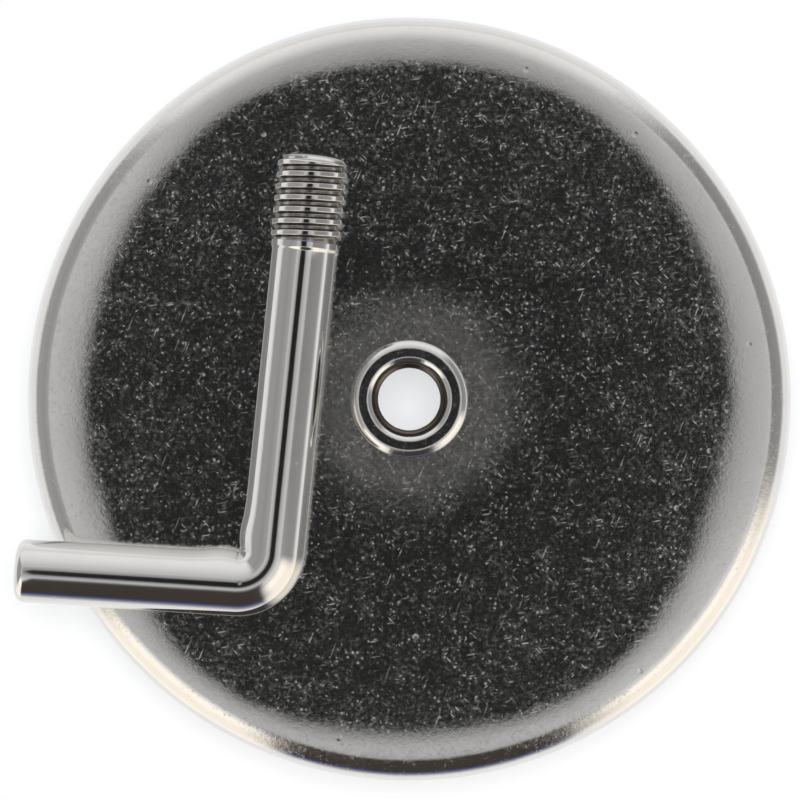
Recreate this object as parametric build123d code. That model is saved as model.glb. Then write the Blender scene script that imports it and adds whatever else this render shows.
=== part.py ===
"""Round pot magnet: a drawn steel cup round a ferrite ring, a tapped bush clinched through
the cup's back, and the magnet's own L-shaped screw hook, lying on the back.

The frame is in millimetres. The origin is the centre of the open, holding face, which rests
on the work at Z = 0. +Z points out of the closed back.
"""

import os
from math import atan, cos, degrees, radians, sin

from build123d import *

# Cup, one deep-drawn sheet
cup_diameter = 66.0
sheet_thickness = 1.5
cup_corner_radius = 2.5  # outside, where the back turns into the wall
rim_edge_break = 0.3  # on both edges of the open rim

# Ring magnet, pressed ferrite
magnet_thickness = 8.0
magnet_edge_break = 0.4
magnet_seat_margin = 0.5  # between the ring's edge and the start of the cup's inside corner
magnet_bore_gap = 1.0  # between the ring's bore and the bush's body
face_recess = 0.1  # the ring and the bush sit this far inside the rim
glue_film = 0.05

# Centre bush
thread_diameter = 6.0
inside_thread_height = 0.3  # from its crests to the full diameter: the bore is tapped shallow
threaded_length = 5.0
mouth_clearance = 0.05  # from the thread's full diameter to the mouth above it
neck_wall = 1.0  # round the thread, where the bush passes through the back
neck_clearance = 0.05
collar_overhang = 1.05  # the clinched collar, past the neck
collar_thickness = 0.9  # above the back
collar_edge_radius = 0.65  # outside edge, and the edge round the mouth
bush_body_diameter = 16.0
bush_edge_break = 0.4
relief_clearance = 0.3  # from the thread's full diameter to the plain bore below it

# Hook, bent from plain wire with a rolled thread
wire_diameter = 5.4
long_arm = 36.85  # from the crossing of the two axes to the thread's end
short_arm = 21.55
bend_angle = 92.2  # between the two arms
bend_inside_radius = 0.3
short_end_radius = 0.8
hook_thread_allowance = 0.05  # off the thread's full diameter
hook_thread_length = 7.4  # with the rounded end
hook_end_radius = 2.25  # where the domed end meets its bevel
hook_end_dome = 0.3
hook_end_bevel = 0.65
thread_shoulder_step = 0.1  # the shoulder behind the thread, over the wire's radius
thread_shoulder_length = 0.6
thread_shoulder_taper = 0.25

# Where the hook lies on the back
hook_corner_x = -11.89
hook_corner_y = -15.91
hook_lean = 5.86  # of the long arm, clockwise from +Y
rest_gap = 0.02

# Worked out from the sizes above
cup_radius = cup_diameter / 2
cup_height = face_recess + magnet_thickness + glue_film + sheet_thickness
inside_back = cup_height - sheet_thickness
neck_radius = thread_diameter / 2 + neck_wall
wire_radius = wire_diameter / 2
hook_thread_radius = thread_diameter / 2 - hook_thread_allowance


def turned(outline):
    """Turns a closed outline of lines and arcs, given as (radius, height), about Z."""
    return revolve(Plane.XZ * make_face(outline), Axis.Z)


def quarter_arc(centre, radius, start_angle):
    """Quarter circle about a centre in the outline's own plane, anticlockwise."""
    return CenterArc(centre, radius, start_angle, 90)


def cup():
    """Back, rounded corner and wall of even thickness, with a hole for the bush's neck."""
    hole = neck_radius + neck_clearance
    corner = cup_radius - cup_corner_radius
    corner_height = cup_height - cup_corner_radius
    wall_inside = cup_radius - sheet_thickness
    outline = [
        Line((hole, inside_back), (hole, cup_height)),
        Line((hole, cup_height), (corner, cup_height)),
        quarter_arc((corner, corner_height), cup_corner_radius, 0),
        Line((cup_radius, corner_height), (cup_radius, rim_edge_break)),
        Line((cup_radius, rim_edge_break), (cup_radius - rim_edge_break, 0)),
        Line((cup_radius - rim_edge_break, 0), (wall_inside + rim_edge_break, 0)),
        Line((wall_inside + rim_edge_break, 0), (wall_inside, rim_edge_break)),
        Line((wall_inside, rim_edge_break), (wall_inside, corner_height)),
        quarter_arc((corner, corner_height), cup_corner_radius - sheet_thickness, 0),
        Line((corner, inside_back), (hole, inside_back)),
    ]
    return turned(outline)


def ring_magnet():
    """Flat ring that stops where the cup's inside corner begins, with its edges broken."""
    outside = cup_radius - cup_corner_radius - magnet_seat_margin
    bore = bush_body_diameter / 2 + magnet_bore_gap
    low = face_recess
    high = low + magnet_thickness
    cut = magnet_edge_break
    return turned(
        Polyline(
            (bore, low + cut),
            (bore, high - cut),
            (bore + cut, high),
            (outside - cut, high),
            (outside, high - cut),
            (outside, low + cut),
            (outside - cut, low),
            (bore + cut, low),
            close=True,
        )
    )


def centre_bush():
    """Body under the back, neck through it, rounded collar on it, and the tapped bore."""
    core = thread_diameter / 2 - inside_thread_height
    mouth = thread_diameter / 2 + mouth_clearance
    relief = thread_diameter / 2 + relief_clearance
    body = bush_body_diameter / 2
    collar = neck_radius + collar_overhang
    top = cup_height + collar_thickness
    edge = min(collar_edge_radius, 0.45 * (collar - mouth), 0.95 * collar_thickness)
    thread_top = top - edge
    thread_bottom = thread_top - threaded_length
    low = face_recess
    cut = bush_edge_break
    outline = [
        Line((relief + cut, low), (body - cut, low)),
        Line((body - cut, low), (body, low + cut)),
        Line((body, low + cut), (body, inside_back)),
        Line((body, inside_back), (neck_radius, inside_back)),
        Line((neck_radius, inside_back), (neck_radius, cup_height)),
        Line((neck_radius, cup_height), (collar, cup_height)),
        Line((collar, cup_height), (collar, top - edge)),
        quarter_arc((collar - edge, top - edge), edge, 0),
        Line((collar - edge, top), (mouth + edge, top)),
        quarter_arc((mouth + edge, top - edge), edge, 90),
        Line((mouth, thread_top), (core, thread_top - (mouth - core))),
        Line((core, thread_top - (mouth - core)), (core, thread_bottom)),
        Line((core, thread_bottom), (relief, thread_bottom - (relief - core))),
        Line((relief, thread_bottom - (relief - core)), (relief, low + cut)),
        Line((relief, low + cut), (relief + cut, low)),
    ]
    return turned(outline)


def threaded_end():
    """The long arm's end, turned about Z with its tip at Z = 0 and its body below."""
    bevel_start = -hook_end_dome
    full_start = bevel_start - hook_end_bevel
    shoulder = wire_radius + thread_shoulder_step
    shoulder_end = -hook_thread_length - thread_shoulder_length
    taper_end = shoulder_end - thread_shoulder_taper
    outline = [
        SagittaArc((hook_end_radius, bevel_start), (-hook_end_radius, bevel_start), -hook_end_dome)
        .trim(0, 0.5),
        Line((hook_end_radius, bevel_start), (hook_thread_radius, full_start)),
        Line((hook_thread_radius, full_start), (hook_thread_radius, -hook_thread_length)),
        Line((hook_thread_radius, -hook_thread_length), (shoulder, -hook_thread_length)),
        Line((shoulder, -hook_thread_length), (shoulder, shoulder_end)),
        Line((shoulder, shoulder_end), (wire_radius, taper_end)),
        Line((wire_radius, taper_end), (0, taper_end)),
        Line((0, taper_end), (0, 0)),
    ]
    return turned(outline), -taper_end


def hook():
    """Both arms and their bend in one wire, with the threaded end, laid on the cup's back."""
    end, end_length = threaded_end()
    short_direction = Vector(-sin(radians(bend_angle)), cos(radians(bend_angle)), 0)
    short_tip = short_direction * short_arm
    wire_end = Vector(0, long_arm - end_length, 0)
    route = FilletPolyline(short_tip, (0, 0, 0), wire_end, radius=wire_radius + bend_inside_radius)
    section = Plane(origin=short_tip, z_dir=-short_direction) * Circle(wire_radius)
    wire = sweep(section, path=route)
    end_edges = wire.edges().filter_by(GeomType.CIRCLE).sort_by_distance(short_tip)
    wire = fillet(end_edges[0], short_end_radius)
    in_place = Location((0, long_arm, 0), (-90, 0, 0))
    whole = wire + in_place * end

    # The thread and its shoulder stand proud of the wire, so the long arm slopes up to them.
    thread_reach = long_arm - hook_thread_length
    thread_slope = (hook_thread_radius - wire_radius) / thread_reach
    shoulder_slope = thread_shoulder_step / (thread_reach - thread_shoulder_length)
    slope = atan(max(thread_slope, shoulder_slope))
    slope_axis = Axis((0, 0, 0), short_direction)
    whole = whole.rotate(slope_axis, -degrees(slope))
    axis_height = cup_height + rest_gap + wire_radius
    return Location((hook_corner_x, hook_corner_y, axis_height), (0, 0, -hook_lean)) * whole


os.makedirs("parts", exist_ok=True)
export_step(cup(), "parts/cup.step")
export_step(ring_magnet(), "parts/ring_magnet.step")
export_step(centre_bush(), "parts/centre_bush.step")
export_step(hook(), "parts/hook.step")
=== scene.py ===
import math
from math import radians

import bpy
from mathutils import Matrix, Vector


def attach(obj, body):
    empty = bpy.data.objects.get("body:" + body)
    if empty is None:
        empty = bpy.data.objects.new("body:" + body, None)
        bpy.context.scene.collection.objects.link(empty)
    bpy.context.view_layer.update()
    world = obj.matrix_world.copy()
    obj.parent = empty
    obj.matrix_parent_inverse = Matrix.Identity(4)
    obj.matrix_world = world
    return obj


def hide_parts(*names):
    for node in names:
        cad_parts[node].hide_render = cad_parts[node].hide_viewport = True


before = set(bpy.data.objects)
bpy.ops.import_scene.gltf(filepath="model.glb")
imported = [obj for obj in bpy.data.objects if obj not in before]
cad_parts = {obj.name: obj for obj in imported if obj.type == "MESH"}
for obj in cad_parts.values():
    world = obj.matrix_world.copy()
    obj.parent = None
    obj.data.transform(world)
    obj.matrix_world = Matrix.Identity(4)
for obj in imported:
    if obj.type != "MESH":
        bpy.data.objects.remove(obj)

# Pot magnet: drawn cup, ferrite ring, clinched bush and the L-shaped screw hook lying on the back.
# Sizes in the dictionaries are in millimetres and degrees, unless a note says otherwise.

mm = 0.001
fullTurn = 2 * math.pi
quarterTurn = math.pi / 2
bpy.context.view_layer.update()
print("frame loaded:", ", ".join(sorted(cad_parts)))


# 0 before start, 1 after end, smooth between
def ease(value, start, end):
    t = min(max((value - start) / (end - start), 0.0), 1.0)
    return t * t * (3 - 2 * t)


# evenly spaced values after start, the last at the end of the span
def spread(start, span, steps):
    return [start + span * i / steps for i in range(1, steps + 1)]


def roundAngles(count):
    return [fullTurn * j / count for j in range(count)]


def arcPoints(centre, radius, startAngle, endAngle, steps):
    points = []
    for i in range(steps + 1):
        a = radians(startAngle + (endAngle - startAngle) * i / steps)
        points.append((centre[0] + radius * math.cos(a), centre[1] + radius * math.sin(a)))
    return points


# Rings of points, all of one length, become a skin. closedLoop joins the last ring to the first.
def skinRings(name, rings, closedLoop=False, capStart=None, capEnd=None, flip=False):
    count = len(rings[0])
    points = [p for ring in rings for p in ring]
    faces = []
    last = len(rings) if closedLoop else len(rings) - 1
    for i in range(last):
        a, b = i * count, ((i + 1) % len(rings)) * count
        for j in range(count):
            k = (j + 1) % count
            faces.append((a + j, a + k, b + k, b + j))
    for centre, first, order in ((capStart, 0, -1), (capEnd, (len(rings) - 1) * count, 1)):
        if centre is not None:
            points.append(centre)
            tip = len(points) - 1
            for j in range(count):
                k = (j + 1) % count
                faces.append((first + j, first + k, tip)[::order])
    if flip:
        faces = [face[::-1] for face in faces]
    mesh = bpy.data.meshes.new(name)
    mesh.from_pydata([tuple(c * mm for c in p) for p in points], [], faces)
    mesh.polygons.foreach_set("use_smooth", [True] * len(mesh.polygons))
    mesh.update()
    piece = bpy.data.objects.new(name, mesh)
    bpy.context.scene.collection.objects.link(piece)
    return piece


# profile(angle) gives the (radius, height) points of the outline at that angle
def turnedRings(profile, segments):
    angles = roundAngles(segments)
    columns = [profile(a) for a in angles]
    rings = []
    for i in range(len(columns[0])):
        ring = []
        for a, column in zip(angles, columns):
            radius, height = column[i]
            ring.append((radius * math.cos(a), radius * math.sin(a), height))
        rings.append(ring)
    return rings


def settle(piece, material, node, sharpAngle=50):
    piece.data.materials.append(material)
    piece.data.set_sharp_from_angle(angle=radians(sharpAngle))
    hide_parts(node)
    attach(piece, "root")


# Numbers are set on the node's sockets, and outputs of other nodes are linked to them
def addNode(tree, kind, inputs=None, **settings):
    made = tree.nodes.new("ShaderNode" + kind)
    for key, value in settings.items():
        setattr(made, key, value)
    for key, value in (inputs or {}).items():
        if isinstance(value, bpy.types.NodeSocket):
            tree.links.new(value, made.inputs[key])
        else:
            made.inputs[key].default_value = value
    return made


def calc(tree, operation, a, b=None, c=None):
    values = {i: v for i, v in enumerate((a, b, c)) if v is not None}
    return addNode(tree, "Math", values, operation=operation).outputs[0]


def fade(tree, value, fromLow, fromHigh, toLow=0.0, toHigh=1.0, smooth=True):
    made = addNode(tree, "MapRange", {0: value, 1: fromLow, 2: fromHigh, 3: toLow, 4: toHigh})
    made.interpolation_type = "SMOOTHSTEP" if smooth else "LINEAR"
    return made.outputs[0]


def ramp(tree, factor, stops):
    made = addNode(tree, "ValToRGB", {0: factor})
    elements = made.color_ramp.elements
    while len(elements) < len(stops):
        elements.new(0.5)
    for element, (position, colour) in zip(elements, sorted(stops, key=lambda stop: stop[0])):
        element.position = position
        if not hasattr(colour, "__len__"):
            colour = (colour, colour, colour)
        element.color = (*colour, 1)
    return made.outputs[0]


def blendColours(tree, factor, a, b):
    made = addNode(tree, "Mix", data_type="RGBA")
    # of this node's inputs, 0 is the factor, and 6 and 7 are the two colours
    for socket, value in ((made.inputs[0], factor), (made.inputs[6], a), (made.inputs[7], b)):
        if isinstance(value, bpy.types.NodeSocket):
            tree.links.new(value, socket)
        elif hasattr(value, "__len__"):
            socket.default_value = (*value, 1)
        else:
            socket.default_value = value
    return made.outputs[2]


def newMaterial(name):
    material = bpy.data.materials.new(name)
    material.use_nodes = True
    return material, material.node_tree, material.node_tree.nodes["Principled BSDF"]


cameraSettings = {
    "x": -0.80,
    "y": -0.07,
    "aboveBack": 300.0,
    "frameWidthAtBack": 68.605,
    "backHeight": 9.65,
    "sensor": 36,
    "nearest": 5,
    "farthest": 20000,
}


def makeCamera(s):
    data = bpy.data.cameras.new("camera")
    data.sensor_width = s["sensor"]
    data.lens = s["sensor"] * s["aboveBack"] / s["frameWidthAtBack"]
    data.clip_start, data.clip_end = s["nearest"] * mm, s["farthest"] * mm
    camera = bpy.data.objects.new("camera", data)
    camera.location = (s["x"] * mm, s["y"] * mm, (s["backHeight"] + s["aboveBack"]) * mm)
    bpy.context.scene.collection.objects.link(camera)
    bpy.context.scene.camera = camera


makeCamera(cameraSettings)
print("camera placed")


# Angles from straight up with the brightness there, 1 = white. Overhead is one dark spot.
overhead = [(0, 0.016), (7, 0.021), (8.8, 0.045)]
table = [(95, 0.98), (180, 1.0)]
cream = (1.40, 1.31, 1.17)
softCream = (1.28, 1.19, 1.05)
frontDark = (0.062, 0.052, 0.045)

# tent stands all round, and each zone takes its place over a part of the compass.
# facing: compass angle from +X; half and soft: half width and softness across
studio = {
    "tent": overhead + [
        (10.3, 0.38), (13, 0.50), (16, 0.59), (19, 0.64), (21.5, 0.68), (24, 0.50), (28, 0.43),
        (36, 0.40), (44, 0.36), (60, 0.40), (76, 0.40), (81, 0.66), (87, 0.95)] + table,
    "zones": [
        {"facing": 0, "half": 62, "soft": 16, "levels": overhead + [
            (10, 0.40), (16, 0.54), (24, 0.66), (29, 0.64), (32, 0.32), (40, 0.295),
            (74, 0.35), (81, 0.50), (86, 0.85), (91, 0.98)] + table},
        {"facing": 92, "half": 42, "soft": 9, "levels": overhead + [
            (10.4, 0.34), (15, 0.43), (22, 0.64), (29, 0.70), (36, 0.76), (44, 0.86),
            (60, 0.97), (76, 1.03), (88, 0.86)] + table},
        {"facing": 272, "half": 24, "soft": 4, "levels": overhead + [
            (10.6, 0.26), (13, 0.42), (15.5, 0.56), (18, 0.62), (20, 0.52), (24, 0.22),
            (29, frontDark), (79, frontDark), (83, (0.06, 0.07, 0.19)),
            (89, (0.12, 0.15, 0.34)), (94, 0.33), (99, 0.50), (108, 1.0), (180, 1.0)]},
        {"facing": 231, "half": 17, "soft": 4, "levels": overhead + [
            (10.6, 0.30), (14.5, 0.44), (17.5, 0.58), (19.5, 0.61), (22, 0.57), (25, 0.78),
            (33, 1.04), (42, cream), (58, cream), (68, softCream), (90, softCream),
            (102, cream), (122, 1.0), (180, 1.0)]},
        {"facing": 322, "half": 20, "soft": 9, "levels": overhead + [
            (10.3, 0.36), (13, 0.46), (16, 0.60), (18, 0.66), (20.5, 0.68), (24, 0.84),
            (33, 0.89), (42, cream), (56, cream), (64, softCream), (90, softCream),
            (102, cream), (130, 1.0), (180, 1.0)]},
    ],
    "lampHeight": 420.0,
    "lampRadius": 105.0,
    "lampShiftX": 8.0,
    "lampShiftY": 30.0,
    "lampWatts": 0.88,
    "floorRadius": 50.0,
    "floorMiddle": 0.05,  # share of the radius that the middle's small faces take
    "floorSegments": 96,
    "floorBelow": 0.02,
    "floorGlow": 0.60,
    "floorGlowColour": (0.96, 0.98, 1.0),
    "floorColour": (0.45, 0.45, 0.45),
}


def zenithRamp(tree, zenith, levels):
    return ramp(tree, zenith, [(angle / 180, brightness) for angle, brightness in levels])


def makeWorld(s):
    world = bpy.data.worlds.new("studio")
    world.use_nodes = True
    bpy.context.scene.world = world
    tree = world.node_tree
    tree.nodes.clear()
    direction = addNode(tree, "TexCoord").outputs["Generated"]
    parts = addNode(tree, "SeparateXYZ", {0: direction}).outputs
    zenith = calc(tree, "DIVIDE", calc(tree, "ARCCOSINE", parts[2]), math.pi)
    level = addNode(tree, "CombineXYZ", {0: parts[0], 1: parts[1]}).outputs[0]
    compass = addNode(tree, "VectorMath", {0: level}, operation="NORMALIZE").outputs[0]
    colour = zenithRamp(tree, zenith, s["tent"])
    for zone in s["zones"]:
        a = radians(zone["facing"])
        towards = (math.cos(a), math.sin(a), 0)
        facing = addNode(tree, "VectorMath", {0: compass, 1: towards}, operation="DOT_PRODUCT")
        inner, outer = zone["half"] - zone["soft"], zone["half"] + zone["soft"]
        across = fade(tree, facing.outputs["Value"],
                      math.cos(radians(outer)), math.cos(radians(inner)))
        colour = blendColours(tree, across, colour, zenithRamp(tree, zenith, zone["levels"]))
    around = addNode(tree, "Background", {"Color": colour, "Strength": 1.0}).outputs[0]
    addNode(tree, "OutputWorld", {"Surface": around})


def makeLamp(s):
    data = bpy.data.lights.new("overheadLamp", "AREA")
    data.shape = "DISK"
    data.size = 2 * s["lampRadius"] * mm
    data.energy = s["lampWatts"]
    lamp = bpy.data.objects.new("overheadLamp", data)
    lamp.location = (s["lampShiftX"] * mm, s["lampShiftY"] * mm, s["lampHeight"] * mm)
    lamp.rotation_euler = Vector(lamp.location).to_track_quat("Z", "Y").to_euler()
    lamp.visible_camera = False
    lamp.visible_glossy = False
    bpy.context.scene.collection.objects.link(lamp)


# Matt, so that it keeps the shadow, with a glow that only the rays that show it can see
def makeFloor(s):
    angles = roundAngles(s["floorSegments"])
    rings = []
    for r in (s["floorMiddle"] * s["floorRadius"], s["floorRadius"]):
        rings.append([(r * math.cos(a), r * math.sin(a), 0) for a in angles])
    floor = skinRings("floor", rings, capStart=(0, 0, 0), flip=True)
    floor.location.z = -s["floorBelow"] * mm
    material, tree, shader = newMaterial("paleFloor")
    tree.nodes.remove(shader)
    paths = addNode(tree, "LightPath").outputs
    seen = calc(tree, "MAXIMUM", paths["Is Camera Ray"],
                calc(tree, "MAXIMUM", paths["Is Glossy Ray"], paths["Is Transmission Ray"]))
    glow = addNode(tree, "Emission", {
        "Color": (*s["floorGlowColour"], 1),
        "Strength": calc(tree, "MULTIPLY", seen, s["floorGlow"])})
    matt = addNode(tree, "BsdfDiffuse", {"Color": (*s["floorColour"], 1)})
    both = addNode(tree, "AddShader", {0: glow.outputs[0], 1: matt.outputs[0]}).outputs[0]
    # clear from below, so that the underside can be looked at
    clear = addNode(tree, "BsdfTransparent").outputs[0]
    under = addNode(tree, "NewGeometry").outputs["Backfacing"]
    surface = addNode(tree, "MixShader", {0: under, 1: both, 2: clear}).outputs[0]
    tree.links.new(surface, tree.nodes["Material Output"].inputs["Surface"])
    floor.data.materials.append(material)


makeWorld(studio)
makeLamp(studio)
makeFloor(studio)
print("studio lit")


def pointInMillimetres(tree):
    own = addNode(tree, "TexCoord").outputs["Object"]
    return addNode(tree, "VectorMath", {0: own, "Scale": 1 / mm}, operation="SCALE").outputs[0]


def noise(tree, point, scale, detail, roughness=0.5, **settings):
    values = {"Vector": point, "Scale": scale, "Detail": detail, "Roughness": roughness}
    return addNode(tree, "TexNoise", values, **settings).outputs["Fac"]


# the distance to the nearest cell's middle, and three random numbers of that cell's own
def nearestCell(tree, point, scale):
    cell = addNode(tree, "TexVoronoi", {"Vector": point, "Scale": scale, "Randomness": 1.0},
                   feature="F1", voronoi_dimensions="3D").outputs
    return cell["Distance"], addNode(tree, "SeparateColor", {0: cell["Color"]}).outputs


# mottling takes the roughness to both sides of its base
def mottledRough(tree, mottle, s):
    lowest = s["roughBase"] - s["roughMottle"] / 2
    return calc(tree, "MULTIPLY_ADD", mottle, s["roughMottle"], lowest)


def dress(tree, shader, colour, rough, height, metallic):
    bump = addNode(tree, "Bump", {"Strength": 1.0, "Distance": 1.0, "Height": height})
    tree.links.new(colour, shader.inputs["Base Color"])
    tree.links.new(rough, shader.inputs["Roughness"])
    tree.links.new(bump.outputs[0], shader.inputs["Normal"])
    shader.inputs["Metallic"].default_value = metallic


# A plated, tumbled steel skin: short scratches, specks and a few dents on a dark mirror.
# rough* and *Rough are shader roughness, and *Scale are in turns of the texture per millimetre.
# *Edge and *Pick are the two values that a mark or a field fades between.
cupFinish = {
    "colourDark": (0.69, 0.68, 0.66),
    "colourLight": (0.76, 0.75, 0.735),
    "mottleScale": 0.35,
    "roughBase": 0.070,
    "roughMottle": 0.050,
    "roughGrain": 0.128,
    "roughHaze": 0.110,
    "hazeFrom": 6.5,
    "hazeTo": 12.0,
    "hazeCalm": 0.45,  # share of the wear left where the haze is full
    "patchScale": 0.55,
    "patchEdge": (0.32, 0.68),
    "patchWear": (0.55, 1.25),
    "scratchRough": 0.25,
    "scratchDepth": 0.0018,
    "scratchEdge": (0.36, 0.10),
    "scratchFaintest": 0.25,
    "scratchPower": 1.8,
    "scratchSoftness": 0.06,
    "scratchLayers": [
        # turn, length, width, share of cells that hold one
        (9, 1.6, 0.22, 0.20),
        (41, 0.7, 0.22, 0.28),
        (68, 2.4, 0.22, 0.14),
        (103, 0.6, 0.22, 0.28),
        (134, 1.2, 0.24, 0.20),
        (165, 0.5, 0.24, 0.30),
    ],
    "layerShift": (7.3, 3.1, 1.7),  # from one layer of scratches to the next
    "speckSize": 0.44,
    "speckRough": 0.20,
    "speckEdge": (0.42, 0.12),
    "speckPick": (0.45, 1.0),
    "dentSize": 3.2,
    "dentDepth": 0.014,
    "dentRough": 0.10,
    "dentShare": 0.22,
    "dentSoftness": 0.02,
    "dentEdge": (0.10, 0.03),
    "grainSize": 0.40,
    "grainDepth": 0.0075,
    "grainEdge": (0.40, 0.70),
    "swellSize": 5.0,
    "swellDepth": 0.030,
    "boreShade": 0.0,
    "boreColour": (0.10, 0.072, 0.052),
    "boreEdge": (3.32, 3.12),
    "boreRough": 0.18,
}
bushFinish = {**cupFinish, "roughHaze": 0.0, "roughBase": 0.10, "boreShade": 0.92}


def makeScratches(tree, point, s):
    scratches = None
    soft = s["scratchSoftness"]
    for i, (turn, length, width, share) in enumerate(s["scratchLayers"]):
        # texture mapping turns first and stretches after, so every layer lies its own way
        laid = addNode(tree, "Mapping", {
            "Vector": point,
            "Location": tuple(step * i for step in s["layerShift"]),
            "Rotation": (0, 0, radians(turn)),
            "Scale": (length, width, width)}, vector_type="TEXTURE").outputs[0]
        distance, pick = nearestCell(tree, laid, 1.0)
        near = fade(tree, distance, *s["scratchEdge"])
        held = fade(tree, pick[0], share + soft, share - soft)
        strength = fade(tree, pick[1], 0.0, 1.0, s["scratchFaintest"], 1.0, smooth=False)
        strength = calc(tree, "POWER", strength, s["scratchPower"])
        layer = calc(tree, "MULTIPLY", calc(tree, "MULTIPLY", near, held), strength)
        scratches = layer if scratches is None else calc(tree, "MAXIMUM", scratches, layer)
    return scratches


def makePlatedSkin(name, s):
    material, tree, shader = newMaterial(name)
    point = pointInMillimetres(tree)
    parts = addNode(tree, "SeparateXYZ", {0: point}).outputs
    flat = addNode(tree, "CombineXYZ", {0: parts[0], 1: parts[1]}).outputs[0]
    radius = addNode(tree, "VectorMath", {0: flat}, operation="LENGTH").outputs["Value"]
    scratches = makeScratches(tree, point, s)
    distance, pick = nearestCell(tree, point, 1 / s["speckSize"])
    specks = calc(tree, "MULTIPLY", fade(tree, distance, *s["speckEdge"]),
                  fade(tree, pick[0], *s["speckPick"], smooth=False))
    distance, pick = nearestCell(tree, point, 1 / s["dentSize"])
    share, soft = s["dentShare"], s["dentSoftness"]
    dents = calc(tree, "MULTIPLY", fade(tree, distance, *s["dentEdge"]),
                 fade(tree, pick[0], share + soft, share - soft))
    grain = noise(tree, point, 1 / s["grainSize"], detail=4.0, roughness=0.65)
    mottle = noise(tree, point, s["mottleScale"], detail=4.0, roughness=0.6)
    swell = noise(tree, point, 1 / s["swellSize"], detail=1.0)
    haze = fade(tree, radius, s["hazeTo"], s["hazeFrom"])
    # the wear comes in patches, and there is less of it in the haze round the bush
    patches = noise(tree, point, s["patchScale"], detail=3.0, roughness=0.6)
    wear = fade(tree, patches, *s["patchEdge"], *s["patchWear"])
    calm = fade(tree, haze, 0.0, 1.0, 1.0, s["hazeCalm"], smooth=False)
    wear = calc(tree, "MULTIPLY", wear, calm)
    worn = fade(tree, grain, *s["grainEdge"], 0.0, s["roughGrain"], smooth=False)
    rough = mottledRough(tree, mottle, s)
    rough = calc(tree, "MULTIPLY_ADD", worn, wear, rough)
    rough = calc(tree, "MULTIPLY_ADD", haze, s["roughHaze"], rough)
    marks = calc(tree, "MULTIPLY", scratches, s["scratchRough"])
    marks = calc(tree, "MAXIMUM", marks, calc(tree, "MULTIPLY", specks, s["speckRough"]))
    rough = calc(tree, "MULTIPLY_ADD", marks, wear, rough)
    rough = calc(tree, "MULTIPLY_ADD", dents, s["dentRough"], rough)
    height = calc(tree, "MULTIPLY", scratches, -s["scratchDepth"] * mm)
    height = calc(tree, "MULTIPLY_ADD", dents, -s["dentDepth"] * mm, height)
    height = calc(tree, "MULTIPLY_ADD", grain, s["grainDepth"] * mm, height)
    height = calc(tree, "MULTIPLY_ADD", swell, s["swellDepth"] * mm, height)
    colour = blendColours(tree, mottle, s["colourDark"], s["colourLight"])
    if s["boreShade"] > 0:
        # oil and dirt left down in the bore
        within = fade(tree, radius, *s["boreEdge"])
        shade = calc(tree, "MULTIPLY", within, s["boreShade"])
        colour = blendColours(tree, shade, colour, s["boreColour"])
        rough = calc(tree, "MULTIPLY_ADD", within, s["boreRough"], rough)
    dress(tree, shader, colour, rough, height, metallic=1.0)
    return material


wireFinish = {
    "colourDark": (0.69, 0.68, 0.665),
    "colourLight": (0.75, 0.74, 0.725),
    "mottleScale": 0.5,
    "roughBase": 0.085,
    "roughMottle": 0.05,
    "lineScale": (0.25, 3.0, 1.0),  # along the wire and round it
    "lineDepth": 0.0010,
    "grainScale": 3.0,
    "grainDepth": 0.0006,
    "nickSize": 1.6,
    "nickDepth": 0.005,
    "nickRough": 0.2,
    "nickEdge": (0.16, 0.04),
    "nickPick": (0.35, 0.25),
    "grooveDirtAndShadeColour": (0.085, 0.060, 0.042),
    "grooveRough": 0.22,
    "grooveEdge": (0.35, 0.65),
    "grooveUneven": (0.82, 1.08),
}


# Drawn wire: faint lines along its length, a few nicks, and dirt with painted shade in the grooves
# of its thread
def makePlatedWire(name, s):
    material, tree, shader = newMaterial(name)
    point = pointInMillimetres(tree)
    along = addNode(tree, "UVMap", uv_map="wireLay").outputs[0]
    drawn = addNode(tree, "Mapping", {"Vector": along, "Scale": s["lineScale"]}).outputs[0]
    lines = noise(tree, drawn, 1.0, detail=3.0, roughness=0.6, noise_dimensions="2D")
    grain = noise(tree, point, s["grainScale"], detail=3.0, roughness=0.6)
    mottle = noise(tree, point, s["mottleScale"], detail=4.0, roughness=0.6)
    distance, pick = nearestCell(tree, point, 1 / s["nickSize"])
    nicks = calc(tree, "MULTIPLY", fade(tree, distance, *s["nickEdge"]),
                 fade(tree, pick[0], *s["nickPick"]))
    rough = mottledRough(tree, mottle, s)
    rough = calc(tree, "MULTIPLY_ADD", nicks, s["nickRough"], rough)
    height = calc(tree, "MULTIPLY", lines, s["lineDepth"] * mm)
    height = calc(tree, "MULTIPLY_ADD", grain, s["grainDepth"] * mm, height)
    height = calc(tree, "MULTIPLY_ADD", nicks, -s["nickDepth"] * mm, height)
    colour = blendColours(tree, mottle, s["colourDark"], s["colourLight"])
    # how much dirt and painted shade there is at each point is kept in the mesh
    groove = addNode(tree, "Attribute", attribute_name="groove").outputs["Fac"]
    uneven = fade(tree, grain, *s["grooveEdge"], *s["grooveUneven"])
    groove = calc(tree, "MINIMUM", calc(tree, "MULTIPLY", groove, uneven), 1.0)
    # dirt with painted shade: the thread's flanks are darkened in the colour
    colour = blendColours(tree, groove, colour, s["grooveDirtAndShadeColour"])
    rough = calc(tree, "MULTIPLY_ADD", groove, s["grooveRough"], rough)
    dress(tree, shader, colour, rough, height, metallic=1.0)
    return material


ferriteFinish = {
    "colourDark": (0.035, 0.035, 0.037),
    "colourLight": (0.075, 0.074, 0.074),
    "mottleScale": 0.2,
    "grainScale": 2.5,
    "grainDepth": 0.006,
    "roughBase": 0.40,
    "roughGrain": 0.3,
}


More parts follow.
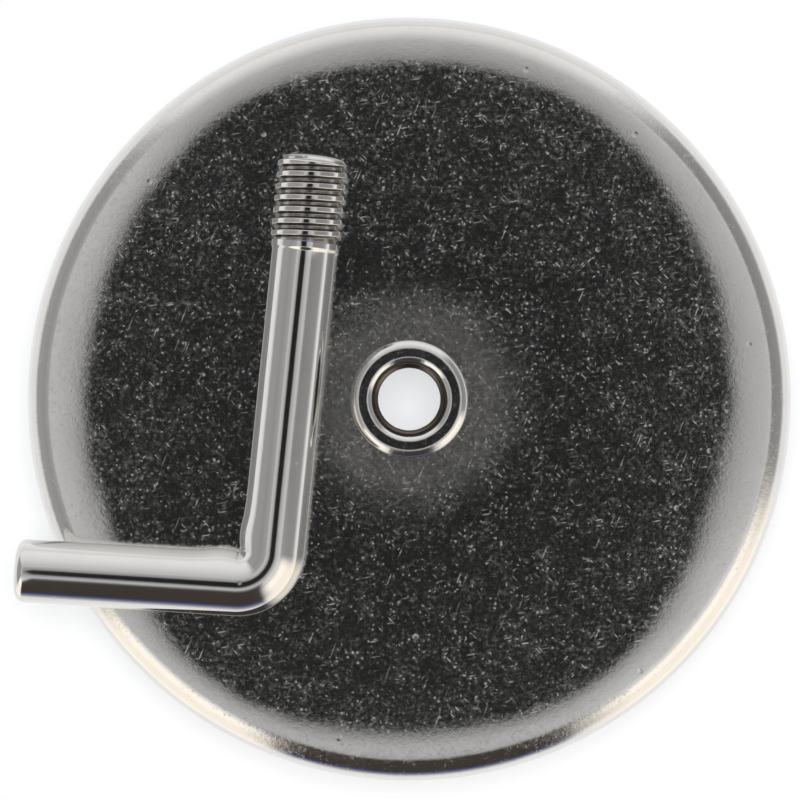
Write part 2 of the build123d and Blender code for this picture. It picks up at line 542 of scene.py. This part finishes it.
def makeFerrite(name, s):
    material, tree, shader = newMaterial(name)
    point = pointInMillimetres(tree)
    grain = noise(tree, point, s["grainScale"], detail=6.0, roughness=0.7)
    mottle = noise(tree, point, s["mottleScale"], detail=3.0)
    colour = blendColours(tree, mottle, s["colourDark"], s["colourLight"])
    rough = calc(tree, "MULTIPLY_ADD", grain, s["roughGrain"], s["roughBase"])
    height = calc(tree, "MULTIPLY", grain, s["grainDepth"] * mm)
    dress(tree, shader, colour, rough, height, metallic=0.0)
    return material


cupSteel = makePlatedSkin("platedCup", cupFinish)
bushSteel = makePlatedSkin("platedBush", bushFinish)
wireSteel = makePlatedWire("platedWire", wireFinish)
ferrite = makeFerrite("ferrite", ferriteFinish)
print("materials made")


cupShape = {
    "radius": 33.0,
    "sheet": 1.5,
    "corner": 2.4,
    "rollEnd": 7.0,      # slope where the roll-off meets the corner
    "rollStart": 27.62,  # mean radius of the true flat
    # how drawing leaves the flat's edge: lobes round the cup, with their cosine and sine parts
    "rollLobes": {
        1: (-0.13, 0.18), 2: (-0.88, 0.19), 4: (-0.40, 0.05), 5: (0.0, 0.17), 6: (0.27, 0.03)},
    "height": 9.65,
    "holeRadius": 4.05,
    "holeBreak": 0.05,
    "edgeBreak": 0.3,
    "insideCorner": 1.0,
    "segments": 480,
    "rollSteps": 14,
    "cornerSteps": 34,
    "edgeSteps": 6,
    "insideCornerSteps": 14,
    # where the rings of points lie, as shares of each stretch
    "flatRings": (0, 0.01, 0.15, 0.4, 0.65, 0.85, 0.97),
    "wallRings": (0.8, 0.5, 0.25),
    "insideWallRings": (0.3, 0.7),
    "insideBackRings": (0.8, 0.5, 0.3),
}


def makeCup(s):
    back, sheet, radius, corner = s["height"], s["sheet"], s["radius"], s["corner"]
    inside, inner = radius - sheet, s["insideCorner"]
    edge, edgeSteps = s["edgeBreak"], s["edgeSteps"]
    hole, holeBreak = s["holeRadius"], s["holeBreak"]
    slope = radians(s["rollEnd"])
    rollEnd = radius - corner + corner * math.sin(slope)

    def profile(angle):
        start = s["rollStart"]
        for lobe, (cosine, sine) in s["rollLobes"].items():
            start += cosine * math.cos(lobe * angle) + sine * math.sin(lobe * angle)
        points = [(hole, back - sheet), (hole, back - holeBreak)]
        flat = start - hole - holeBreak
        points += [(hole + holeBreak + flat * t, back) for t in s["flatRings"]]
        run = rollEnd - start
        # the slope grows evenly over the roll-off
        for i in range(s["rollSteps"] + 1):
            t = i / s["rollSteps"]
            points.append((start + run * t, back - slope * run * t * t / 2))
        cornerHeight = points[-1][1] - corner * math.cos(slope)
        points += arcPoints((radius - corner, cornerHeight), corner,
                            90 - s["rollEnd"], 0, s["cornerSteps"])[1:]
        points += [(radius, cornerHeight * t) for t in s["wallRings"]]
        points += arcPoints((radius - edge, edge), edge, 0, -90, edgeSteps)
        points += arcPoints((inside + edge, edge), edge, -90, -180, edgeSteps)
        points += [(inside, cornerHeight * t) for t in s["insideWallRings"]]
        points += arcPoints((inside - inner, back - sheet - inner), inner,
                            0, 90, s["insideCornerSteps"])
        points += [((inside - inner) * t, back - sheet) for t in s["insideBackRings"]]
        return points

    cup = skinRings("cupShell", turnedRings(profile, s["segments"]), closedLoop=True, flip=True)
    settle(cup, cupSteel, "cup", sharpAngle=30)


makeCup(cupShape)
print("cup drawn")


ringShape = {
    "outside": 30.0,
    "bore": 9.0,
    "low": 0.1,
    "high": 8.1,
    "edgeRadius": 0.4,
    "edgeSteps": 5,
    "segments": 192,
}


def makeRing(s):
    edge, steps = s["edgeRadius"], s["edgeSteps"]
    near, far = s["bore"] + edge, s["outside"] - edge
    low, high = s["low"] + edge, s["high"] - edge
    outline = arcPoints((near, low), edge, 270, 180, steps)
    outline += arcPoints((near, high), edge, 180, 90, steps)
    outline += arcPoints((far, high), edge, 90, 0, steps)
    outline += arcPoints((far, low), edge, 0, -90, steps)
    rings = turnedRings(lambda angle: outline, s["segments"])
    ring = skinRings("ferriteRing", rings, closedLoop=True, flip=True)
    settle(ring, ferrite, "ring_magnet")


makeRing(ringShape)
print("ring pressed")


bushShape = {
    "body": 8.0,
    "bodyTop": 8.15,
    "bodyEdge": 0.2,
    "low": 0.1,
    "neck": 4.0,
    "collar": 5.05,
    "collarUndercut": 0.06,
    "collarLift": 0.01,
    "collarSide": 0.10,
    "back": 9.65,
    "top": 10.55,
    "crownRadius": 0.90,
    "crownFrom": 4.27,
    "crownInset": 0.03,
    "innerEdge": 0.65,
    "mouth": 3.05,
    "threadCore": 2.70,
    "pitch": 1.0,
    "crestShare": 0.36,
    "flankShare": 0.24,
    "threadLength": 5.0,
    "threadRunIn": 0.35,
    "threadRunOut": 0.3,
    "relief": 3.3,
    "reliefTaper": 0.25,
    "edgeBreak": 0.4,
    "segments": 256,
    "bodySteps": 5,
    "bodyEdgeSteps": 3,
    "crownSteps": 22,
    "innerSteps": 16,
    "threadSteps": 90,
    "reliefSteps": 4,
}


# how far up its flank the thread is, 0 at the root to 1 at the crest, for a phase in turns
def threadForm(phase, crest, flank):
    p = abs((phase % 1.0) - 0.5) * 2  # 1 at the crest's middle
    return ease(p, 1 - crest - 2 * flank, 1 - crest)


def makeBush(s):
    crown, inner = s["crownRadius"], s["innerEdge"]
    cut, bodyEdge, back = s["edgeBreak"], s["bodyEdge"], s["back"]
    crownEnd = math.degrees(math.acos((s["collar"] - s["crownInset"] - s["crownFrom"]) / crown))
    threadTop = s["top"] - inner
    threadEnd = threadTop - s["threadLength"]
    bottom = threadEnd - s["threadRunOut"]

    def boreRadius(angle, height):
        phase = (height - threadTop) / s["pitch"] - angle / fullTurn
        ridge = threadForm(phase, s["crestShare"], s["flankShare"])
        full = ease(threadTop - height, 0.0, s["threadRunIn"]) * ease(height, bottom, threadEnd)
        return s["mouth"] - (s["mouth"] - s["threadCore"]) * ridge * full

    def profile(angle):
        points = arcPoints((s["body"] - cut, s["low"] + cut), cut, -90, 0, s["bodySteps"])
        points += arcPoints((s["body"] - bodyEdge, s["bodyTop"] - bodyEdge), bodyEdge,
                            0, 90, s["bodyEdgeSteps"])
        points += [(s["neck"], s["bodyTop"]), (s["neck"], back)]
        points += [(s["collar"] - s["collarUndercut"], back + s["collarLift"])]
        points += [(s["collar"], back + s["collarSide"])]
        points += arcPoints((s["crownFrom"], s["top"] - crown), crown,
                            crownEnd, 90, s["crownSteps"])
        points += arcPoints((s["mouth"] + inner, s["top"] - inner), inner,
                            90, 180, s["innerSteps"])
        for i in range(1, s["threadSteps"] + 1):
            height = threadTop - (s["threadLength"] + s["threadRunOut"]) * i / s["threadSteps"]
            points.append((boreRadius(angle, height), height))
        points += [(s["relief"], bottom - s["reliefTaper"]), (s["relief"], s["low"] + cut)]
        points += arcPoints((s["relief"] + cut, s["low"] + cut), cut, 180, 270, s["reliefSteps"])
        return points

    bush = skinRings("threadedBush", turnedRings(profile, s["segments"]), closedLoop=True)
    settle(bush, bushSteel, "centre_bush")


makeBush(bushShape)
print("bush clinched")


hookShape = {
    "wire": 2.7,
    "longArm": 36.85,
    "shortArm": 21.55,
    "bend": 92.2,
    "bendRadius": 3.0,
    "endRound": 0.8,
    "threadRadius": 2.95,
    "rootRadius": 2.52,
    "pitch": 1.0,
    "threadLength": 7.4,
    "threadRunOut": 0.35,
    "crestShare": 0.33,
    "flankShare": 0.23,
    "firstCrest": 0.75,      # from the end, along the top
    "endDome": 0.45,
    "domeSweep": 0.98,       # share of a quarter turn that the dome's rings cover
    "endRadius": 2.70,
    "endBevel": 0.30,
    "shoulderRadius": 2.8,
    "shoulderLength": 0.6,
    "shoulderLead": 0.1,
    "shoulderTaper": 0.25,
    "pressBulge": 0.26,
    "pressAway": 3.7,        # from the bend's middle, on both arms
    "pressWidth": 1.5,
    "slope": 0.475,
    "lean": 5.86,
    "corner": (-11.89, -15.91, 12.366),
    "around": 112,
    "endSteps": 10,
    "shortSteps": 16,
    "bendSteps": 96,
    "bendMargin": 3,         # how far the bend's fine steps run into both arms
    "longSteps": 20,
    "shoulderSteps": 14,
    "threadSteps": 210,
    "domeSteps": 6,
    "layWidth": 17.0,        # the wire's skin laid flat, round its girth
    "seamJump": 8,
    # dirt and painted shade in the thread, the shade down its flanks. Depths are shares of the
    # thread's, from its crests
    "dirtAndShadeMost": 0.9,
    "dirtAndShadeDepth": (0.06, 0.30),
    "floorDepth": (0.78, 0.98),
    "floorLighter": 0.28,
    "dirtAndShadeLead": 0.1,
    "dirtAndShadeRunOut": 0.2,
    "dirtAndShadeEnd": (0.45, 0.7),
}


def makeHook(s):
    bend = radians(s["bend"])
    shortWay = Vector((-math.sin(bend), math.cos(bend), 0))
    longWay = Vector((0, 1, 0))
    up = Vector((0, 0, 1))
    turn = math.pi - bend
    reach = s["bendRadius"] * math.tan(turn / 2)
    arcLength = s["bendRadius"] * turn
    shortRun = s["shortArm"] - reach
    longRun = s["longArm"] - reach
    total = shortRun + arcLength + longRun
    bendMiddle = shortRun + arcLength / 2
    inward = up.cross(-shortWay)
    bendCentre = shortWay * reach + inward * s["bendRadius"]

    # the wire's centre and the direction of the bend's inside, at a distance along the wire
    def place(d):
        if d <= shortRun:
            return shortWay * (s["shortArm"] - d), inward
        if d >= shortRun + arcLength:
            side = Matrix.Rotation(turn, 3, "Z") @ inward
            return longWay * (reach + d - shortRun - arcLength), side
        side = Matrix.Rotation((d - shortRun) / s["bendRadius"], 3, "Z") @ inward
        return bendCentre - side * s["bendRadius"], side

    def threadedRadius(left, angle):
        phase = (left - s["firstCrest"]) / s["pitch"] + (angle - quarterTurn) / fullTurn
        form = threadForm(phase, s["crestShare"], s["flankShare"])
        form *= ease(s["threadLength"] - left, 0, s["threadRunOut"])
        radius = s["rootRadius"] + (s["threadRadius"] - s["rootRadius"]) * form
        if left >= s["endDome"] + s["endBevel"]:
            return radius
        rise = (s["threadRadius"] - s["endRadius"]) * (left - s["endDome"]) / s["endBevel"]
        return min(radius, s["endRadius"] + rise)

    def radiusAt(d, angle):
        left = total - d
        if d < s["endRound"]:
            t = 1 - d / s["endRound"]
            return s["wire"] - s["endRound"] * (1 - math.sqrt(max(1 - t * t, 0)))
        if left < s["threadLength"]:
            return threadedRadius(left, angle)
        past = left - s["threadLength"]
        taperEnd = s["shoulderLength"] + s["shoulderTaper"]
        if past < taperEnd:
            drop = ease(past, s["shoulderLength"] - s["shoulderLead"], taperEnd)
            return s["shoulderRadius"] + (s["wire"] - s["shoulderRadius"]) * drop
        return s["wire"]

    # dirt with painted shade: darkest down the flanks, lighter again on the groove's floor
    def dirtAndShadeAt(d, angle):
        left = total - d
        inThread = ease(s["threadLength"] + s["dirtAndShadeLead"] - left, 0, s["dirtAndShadeRunOut"])
        inThread *= ease(left, *s["dirtAndShadeEnd"])
        depth = (s["threadRadius"] - radiusAt(d, angle)) / (s["threadRadius"] - s["rootRadius"])
        dirtAndShade = ease(depth, *s["dirtAndShadeDepth"])
        dirtAndShade *= 1 - s["floorLighter"] * ease(depth, *s["floorDepth"])
        return s["dirtAndShadeMost"] * inThread * dirtAndShade

    endSteps, margin = s["endSteps"], s["bendMargin"]
    shoulder = s["shoulderLength"] + s["shoulderTaper"]
    plainEnd = total - s["threadLength"] - s["shoulderLength"] - s["shoulderTaper"]
    stops = [s["endRound"] * (1 - math.cos(quarterTurn * i / endSteps))
             for i in range(endSteps + 1)]
    stops += spread(s["endRound"], shortRun - margin - s["endRound"], s["shortSteps"])
    stops += spread(shortRun - margin, arcLength + 2 * margin, s["bendSteps"])
    stops += spread(stops[-1], plainEnd - stops[-1], s["longSteps"])
    stops += spread(stops[-1], shoulder, s["shoulderSteps"])
    stops += spread(total - s["threadLength"], s["threadLength"] - s["endDome"], s["threadSteps"])

    tilt = Matrix.Rotation(radians(-s["slope"]), 4, shortWay)
    lean = Matrix.Rotation(radians(-s["lean"]), 4, "Z")
    settleDown = Matrix.Translation(s["corner"]) @ lean @ tilt
    angles = roundAngles(s["around"])
    rings, lays, grooves = [], [], []
    for d in stops:
        centre, side = place(d)
        squeeze = math.exp(-((abs(d - bendMiddle) - s["pressAway"]) / s["pressWidth"]) ** 2)
        ring = []
        for a in angles:
            radius = radiusAt(d, a)
            bulge = s["pressBulge"] * squeeze * max(math.cos(a), 0) ** 3
            p = centre + side * (radius + bulge) * math.cos(a) + up * radius * math.sin(a)
            ring.append(tuple(settleDown @ p))
        rings.append(ring)
        lays.append([(d, a / fullTurn * s["layWidth"]) for a in angles])
        grooves += [dirtAndShadeAt(d, a) for a in angles]
    # domed face of the threaded end
    centre, side = place(total - s["endDome"])
    for i in range(1, s["domeSteps"] + 1):
        sweep = quarterTurn * (i / s["domeSteps"]) * s["domeSweep"]
        size = s["endRadius"] * math.cos(sweep)
        lifted = centre + longWay * (s["endDome"] * math.sin(sweep))
        ring = [lifted + side * size * math.cos(a) + up * size * math.sin(a) for a in angles]
        rings.append([tuple(settleDown @ p) for p in ring])
        lays.append([(total, s["layWidth"] * j / s["around"]) for j in range(s["around"])])
    hook = skinRings("screwHook", rings, capStart=tuple(settleDown @ place(0)[0]),
                     capEnd=tuple(settleDown @ place(total)[0]))
    layer = hook.data.uv_layers.new(name="wireLay")
    flatLays = [uv for lay in lays for uv in lay] + [(0, 0), (total, 0)]
    for loop in hook.data.loops:
        layer.data[loop.index].uv = flatLays[loop.vertex_index]
    share = hook.data.attributes.new("groove", "FLOAT", "POINT")
    share.data.foreach_set("value", grooves + [0.0] * (len(hook.data.vertices) - len(grooves)))
    # the seam's last strip runs on past the turn
    for polygon in hook.data.polygons:
        turns = [layer.data[i].uv[1] for i in polygon.loop_indices]
        if max(turns) - min(turns) > s["seamJump"]:
            for i in polygon.loop_indices:
                if layer.data[i].uv[1] < s["seamJump"]:
                    layer.data[i].uv[1] += s["layWidth"]
    settle(hook, wireSteel, "hook", sharpAngle=60)


makeHook(hookShape)
print("hook bent and threaded")


bpy.context.scene.view_settings.view_transform = "Standard"
bpy.context.view_layer.update()
